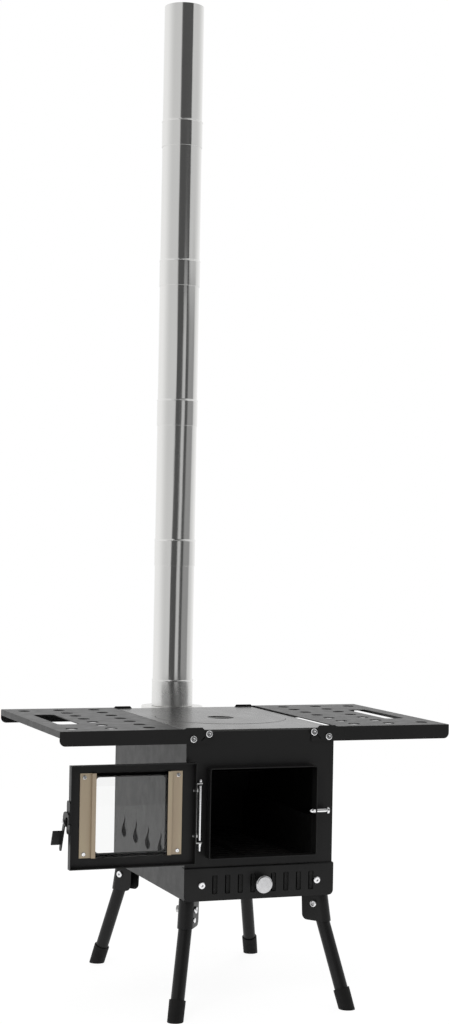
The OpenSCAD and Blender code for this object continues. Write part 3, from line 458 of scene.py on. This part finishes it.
def finish_mesh(name, mesh):
    """Shades a bmesh smooth up to its creases, with its large faces kept flat."""
    bmesh.ops.recalc_face_normals(mesh, faces=mesh.faces)
    for face in mesh.faces:
        face.smooth = True
    data = bpy.data.meshes.new(name)
    mesh.to_mesh(data)
    mesh.free()
    data.set_sharp_from_angle(angle=CREASE)
    holder = bpy.data.objects.new(name, data)
    bpy.context.scene.collection.objects.link(holder)
    normals = holder.modifiers.new("normals", "WEIGHTED_NORMAL")
    normals.mode = "FACE_AREA"
    normals.weight = KEEP_FLAT
    normals.keep_sharp = True
    graph = bpy.context.evaluated_depsgraph_get()
    shaded = bpy.data.meshes.new_from_object(holder.evaluated_get(graph))
    bpy.data.objects.remove(holder)
    bpy.data.meshes.remove(data)
    shaded.name = name
    return shaded


def soften(node, radius=0.35, steps=3, bends=(), material=None, head=None):
    """Dresses a node in a copy with rounded edges. Radii are in mm.

    bends lists (test, radius): edges that pass the test get that radius first.
    head is (radius of the screw heads, radius of their domed rims).
    """
    mesh = clean_copy(node)
    if head:
        round_edges(mesh, head_rims(mesh, head[0] * MM), head[1] * MM, DOME_STEPS)
    for test, bend in bends:
        chosen = [e for e in mesh.edges if is_sharp(e) and test(e)]
        if chosen:
            round_edges(mesh, chosen, bend * MM, BEND_STEPS)
    chosen = [e for e in mesh.edges if is_sharp(e)]
    if chosen:
        round_edges(mesh, chosen, radius * MM, steps)
    name = node + "_piece"
    piece = add_object(name, finish_mesh(name, mesh), material or MATERIALS[SLOT_OF[node]])
    dress(piece, node)


def lathe(name, profile, at, material, steps):
    """Turns a closed outline of (radius, height) points round an upright axis at a place."""
    mesh = bmesh.new()
    rings = []
    for radius, height in profile:
        ring = []
        for i in range(steps):
            a = 2 * math.pi * i / steps
            ring.append(mesh.verts.new((radius * math.cos(a), radius * math.sin(a), height)))
        rings.append(ring)
    for first, second in zip(rings, rings[1:] + rings[:1]):
        for i in range(steps):
            j = (i + 1) % steps
            mesh.faces.new((first[i], first[j], second[j], second[i]))
    bmesh.ops.remove_doubles(mesh, verts=mesh.verts, dist=LATHE_MARGIN)
    bmesh.ops.dissolve_degenerate(mesh, edges=mesh.edges, dist=LATHE_MARGIN)
    mesh.transform(Matrix.Translation(at))
    return add_object(name, finish_mesh(name, mesh), material)


def arc(centre, radius, start, end, steps):
    """Points of an arc in (radius, height), with its angles in degrees."""
    return [
        (centre[0] + radius * math.cos(math.radians(a)),
         centre[1] + radius * math.sin(math.radians(a)))
        for a in (start + (end - start) * i / steps for i in range(steps + 1))
    ]


# ---------------------------------------------------------------- pieces

FLOOR_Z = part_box("body_shell")[0].z
# Radius of the screw heads and of their domed rims, in mm
HEAD = (5.5, 2.3)
SMALL_HEAD = (3.2, 1.2)
# Height of the shelves' ears above their plates
EAR_ABOVE_SHELF = 2 * MM
# Least cosine between an edge and the axis that it runs along
PARALLEL = 0.999
# How far from a level an edge on it may lie
LEVEL_MARGIN = 0.01 * MM
X, Y, Z = range(3)


def along(edge, axis):
    """Whether an edge runs along an axis."""
    direction = (edge.verts[1].co - edge.verts[0].co).normalized()
    return abs(direction[axis]) > PARALLEL


def at_level(edge, axis, *levels):
    """Whether an edge lies at one of some places on an axis."""
    return any(
        all(abs(v.co[axis] - level) < LEVEL_MARGIN for v in edge.verts) for level in levels)


def make_firebox():
    soften("body_shell", bends=[(lambda e: along(e, Y) and at_level(e, Z, FLOOR_Z), 2.5)])
    for node in ("front_plate", "back_plate", "door_collar"):
        soften(node)
    soften("top_plate", 0.5)
    for node in ("lid_ring", "liner_left", "liner_right", "smoke_baffle"):
        soften(node, material=SOOT_AND_SHADE)
    soften("grate", 0.5)
    soften("smoke_box", 0.5)
    soften("smoke_box_screws", 0.6)


def make_hot_plate():
    soften("lid", 0.5)
    soften("lid_cup", 0.4)


def make_air_panel():
    low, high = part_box("air_panel")
    soften("air_panel", 0.3, bends=[
        (lambda e: at_level(e, Y, low.y) and at_level(e, Z, high.z), 1.6)])
    # The damper slide gets the dark steel as painted shade, so the air panel's slots look dark
    soften("damper_slide", 0.25, material=SOOT_AND_SHADE)
    soften("damper_screws", 0.25, head=HEAD)
    soften("damper_nuts", 0.4)
    soften("damper_knob", 0.6, material=KNOB)


def make_hinge():
    soften("hinge_bracket", 0.3)
    soften("hinge_pin", 0.3)
    soften("pin_clip", 0.5)
    low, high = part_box("hinge_strap")
    soften("hinge_strap", 0.25, bends=[
        (lambda e: along(e, Y) and at_level(e, X, low.x) and at_level(e, Z, low.z, high.z), 1.3)])
    soften("hinge_screws", 1.1, 5)
    soften("hinge_nuts", 0.3)


def make_door():
    back_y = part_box("door_pan")[1].y
    soften("door_pan", 0.3, bends=[(lambda e: at_level(e, Y, back_y), 1.2)])
    soften("door_gasket", 0.15)
    soften("door_glass", 0.4)
    soften("glass_strips", 0.3)
    soften("glass_screws", 0.2, head=SMALL_HEAD)


def make_latch():
    soften("latch_bracket", 0.3)
    soften("latch_screw", 0.5)
    soften("latch_lever", 0.4)
    soften("keeper_bolt", 0.8, 4)
    soften("keeper_nut", 0.4)


def make_shelves():
    for node in ("left_shelf", "right_shelf"):
        low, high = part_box(node)
        plate_z = high.z - EAR_ABOVE_SHELF
        end_x = max(low.x, high.x, key=abs)
        soften(node, 0.3, bends=[
            (lambda e: at_level(e, Z, plate_z) and (
                at_level(e, Y, low.y, high.y) or at_level(e, X, end_x)), 1.3)])
    soften("shelf_pivot_screws", 0.25, head=HEAD)
    soften("shelf_stop_screws", 0.25, head=HEAD)
    soften("shelf_nuts", 0.4)


def make_legs():
    soften("leg_brackets", 0.3)
    soften("leg_bolts", 0.25, head=HEAD)
    soften("leg_nuts", 0.4)
    soften("leg_buttons", 0.6)
    for side in ("front_left", "front_right", "back_left", "back_right"):
        soften("leg_tube_" + side, 0.4)
        soften("foot_" + side, 1.2)


# Flue sections: sizes in metres, as the solids have them
FLUE_SECTIONS = 5
FLUE_R = 35 * MM
FLUE_WALL = 0.8 * MM
FLUE_STEPS = 128
SOCKET_CLEAR = 0.08 * MM
SOCKET_L = 45 * MM
# Height up to which the socket's wall is upright
SOCKET_UPRIGHT = 0.5 * SOCKET_L
# Radius of the wall's rolled ends, a little under half the wall
HEM_R = 0.45 * FLUE_WALL
HEM_STEPS = 4
# Bead at the top of the socket: how deep its middle lies in the wall, how far its arc
# reaches to each side in degrees, and where the plain tube starts above it
BEAD_R = 1.25 * MM
BEAD_SINK = 0.4 * MM
BEAD_REACH = 70
BEAD_STEPS = 8
BEAD_TOP = 2.4 * MM
# Height of the slope inside the tube between the socket and the plain tube
SLOPE_H = 0.5 * MM


def flue_profile(length):
    """Outline of one section: hemmed socket, rolled bead, plain tube."""
    socket_in = FLUE_R + SOCKET_CLEAR
    socket_out = socket_in + FLUE_WALL
    tube_in = FLUE_R - FLUE_WALL
    top = length - HEM_R
    outline = arc((socket_in + HEM_R, HEM_R), HEM_R, 180, 270, HEM_STEPS)
    outline += arc((socket_out - HEM_R, HEM_R), HEM_R, 270, 360, HEM_STEPS)
    outline += [(socket_out, SOCKET_UPRIGHT)]
    outline += arc((socket_out - BEAD_SINK, SOCKET_L), BEAD_R, -BEAD_REACH, BEAD_REACH, BEAD_STEPS)
    outline += [(FLUE_R, SOCKET_L + BEAD_TOP)]
    outline += arc((FLUE_R - HEM_R, top), HEM_R, 0, 90, HEM_STEPS)
    outline += arc((tube_in + HEM_R, top), HEM_R, 90, 180, HEM_STEPS)
    outline += [(tube_in, SOCKET_L + SLOPE_H), (socket_in, SOCKET_L)]
    return outline


def make_flue():
    soften("flue_collar", 0.4)
    for i in range(FLUE_SECTIONS):
        node = f"flue_{i + 1}"
        low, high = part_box(node)
        centre = (low + high) / 2
        piece = lathe(node + "_section", flue_profile(high.z - low.z),
                      (centre.x, centre.y, low.z), MATERIALS["stainless"], FLUE_STEPS)
        dress(piece, node)


# ---------------------------------------------------------------- studio

# Light of the room on matt surfaces
FILL = 0.6
# Half the side of the floor
FLOOR_HALF = 2.4
FLOOR_COLOUR = (0.85, 0.85, 0.85)
# The floor's own white, seen by the camera and in metal and glass, and its share beside the
# lit paint, which keeps the shadow: together just white
FLOOR_GLOW = 1.13
FLOOR_GLOW_SHARE = 0.8
# Lamps: place, width and power
LAMPS = {
    "key_lamp": ((-2.2, -2.6, 3.2), 1.6, 40),
    "back_lamp": ((1.8, 2.4, 3.0), 2.0, 30),
}
LAMP_AIM = Vector((0, 0, 0.4))

# The room that bright metal reflects. It grows brighter from front to back
FRONT_LEVEL, BACK_LEVEL = 0.68, 1.0
FRONT_TO_BACK = (-0.4, 0.7)
# In front stands a dark wall. Angles are from straight in front, positive to the right, in
# degrees, and each edge is the two angles between which it fades
WALL_LEVEL = 0.09
WALL_LEFT, WALL_RIGHT = (-34, -26), (34, 38)
# Low down it is wider, turns grey on the right and has a bright slit
LOW_LEFT, LOW_RIGHT = (-45, -39), (66, 74)
LOW_GREY_FROM, LOW_GREY = (25, 31), 0.6
SLIT_LEFT, SLIT_RIGHT = (-10, -6), (8, 13)
SLIT_OPEN = 0.85
# Steepness of a direction, 0 level and 1 straight up, at which the low wall ends
LOW_END = (0.11, 0.16)
# The low wall leans: this many degrees over this steepness
LEAN, LEAN_OVER = 16, (-0.05, 0.1)


def make_world():
    """Pale room with a dark wall in front, which bright metal reflects."""
    world = bpy.data.worlds.new("studio")
    world.use_nodes = True
    bpy.context.scene.world = world
    nodes = Nodes(world.node_tree)
    nodes.tree.nodes.clear()

    def fade(value, span, start, end):
        return nodes.remap(value, span, (start, end), "SMOOTHSTEP")

    def band(value, left, right):
        """1 between two edges and 0 outside them."""
        return nodes.math("MULTIPLY", fade(value, left, 0, 1), fade(value, right, 1, 0))

    def rest_of(value):
        """What is left of 1."""
        return nodes.math("SUBTRACT", 1, value)

    def background(strength):
        made = nodes.node("ShaderNodeBackground")
        made.inputs["Color"].default_value = (1, 1, 1, 1)
        nodes.feed(made.inputs["Strength"], strength)
        return made.outputs[0]

    parts = nodes.node("ShaderNodeSeparateXYZ")
    nodes.link(nodes.node("ShaderNodeTexCoord").outputs["Generated"], parts.inputs[0])
    x, y, z = parts.outputs
    toward_front = nodes.math("MULTIPLY", y, -1)
    angle = nodes.math("DEGREES", nodes.math("ARCTAN2", x, toward_front))
    low_angle = nodes.math("SUBTRACT", angle, fade(z, LEAN_OVER, 0, LEAN))

    low_wall = nodes.math("MULTIPLY", band(low_angle, LOW_LEFT, LOW_RIGHT),
                          fade(low_angle, LOW_GREY_FROM, 1, LOW_GREY))
    slit = nodes.math("MULTIPLY", band(low_angle, SLIT_LEFT, SLIT_RIGHT), SLIT_OPEN)
    low_wall = nodes.math("MULTIPLY", low_wall, rest_of(slit))
    low_down = fade(z, LOW_END, 1, 0)
    dark = nodes.math(
        "ADD", nodes.math("MULTIPLY", band(angle, WALL_LEFT, WALL_RIGHT), rest_of(low_down)),
        nodes.math("MULTIPLY", low_wall, low_down))
    pale = fade(y, FRONT_TO_BACK, FRONT_LEVEL, BACK_LEVEL)
    level = nodes.math("ADD", nodes.math("MULTIPLY", pale, rest_of(dark)),
                       nodes.math("MULTIPLY", dark, WALL_LEVEL))

    lit = nodes.mix_shaders(nodes.seen_by("Is Glossy Ray"), background(FILL), background(level))
    shown = nodes.mix_shaders(
        nodes.seen_by("Is Camera Ray", "Is Transmission Ray"), lit, background(1.0))
    out = nodes.node("ShaderNodeOutputWorld")
    nodes.link(shown, out.inputs["Surface"])


def make_floor():
    """White floor that keeps the stove's shadow."""
    mesh = bmesh.new()
    bmesh.ops.create_grid(mesh, x_segments=1, y_segments=1, size=FLOOR_HALF)
    data = bpy.data.meshes.new("studio_floor")
    mesh.to_mesh(data)
    mesh.free()
    material = bpy.data.materials.new("studio_floor")
    material.use_nodes = True
    nodes = Nodes(material.node_tree)
    nodes.tree.nodes.clear()
    paint = nodes.node("ShaderNodeBsdfDiffuse")
    paint.inputs["Color"].default_value = (*FLOOR_COLOUR, 1)
    glow = nodes.node("ShaderNodeEmission")
    glow.inputs["Strength"].default_value = FLOOR_GLOW
    seen = nodes.seen_by("Is Camera Ray", "Is Glossy Ray", "Is Transmission Ray")
    share = nodes.math("MULTIPLY", seen, FLOOR_GLOW_SHARE)
    out = nodes.node("ShaderNodeOutputMaterial")
    nodes.link(nodes.mix_shaders(share, paint.outputs[0], glow.outputs[0]), out.inputs["Surface"])
    floor = add_object("studio_floor", data, material)


def make_lamps():
    """Soft lamps, which bright metal doesn't show."""
    for name, (place, width, power) in LAMPS.items():
        data = bpy.data.lights.new(name, "AREA")
        data.shape = "DISK"
        data.size = width
        data.energy = power
        lamp = bpy.data.objects.new(name, data)
        lamp.location = place
        lamp.rotation_euler = (LAMP_AIM - Vector(place)).to_track_quat("-Z", "Y").to_euler()
        lamp.visible_glossy = False
        bpy.context.scene.collection.objects.link(lamp)


make_camera()
make_firebox()
make_hot_plate()
make_air_panel()
make_hinge()
make_door()
make_latch()
make_shelves()
make_legs()
make_flue()
make_world()
make_floor()
make_lamps()
bpy.context.scene.view_settings.view_transform = "Standard"
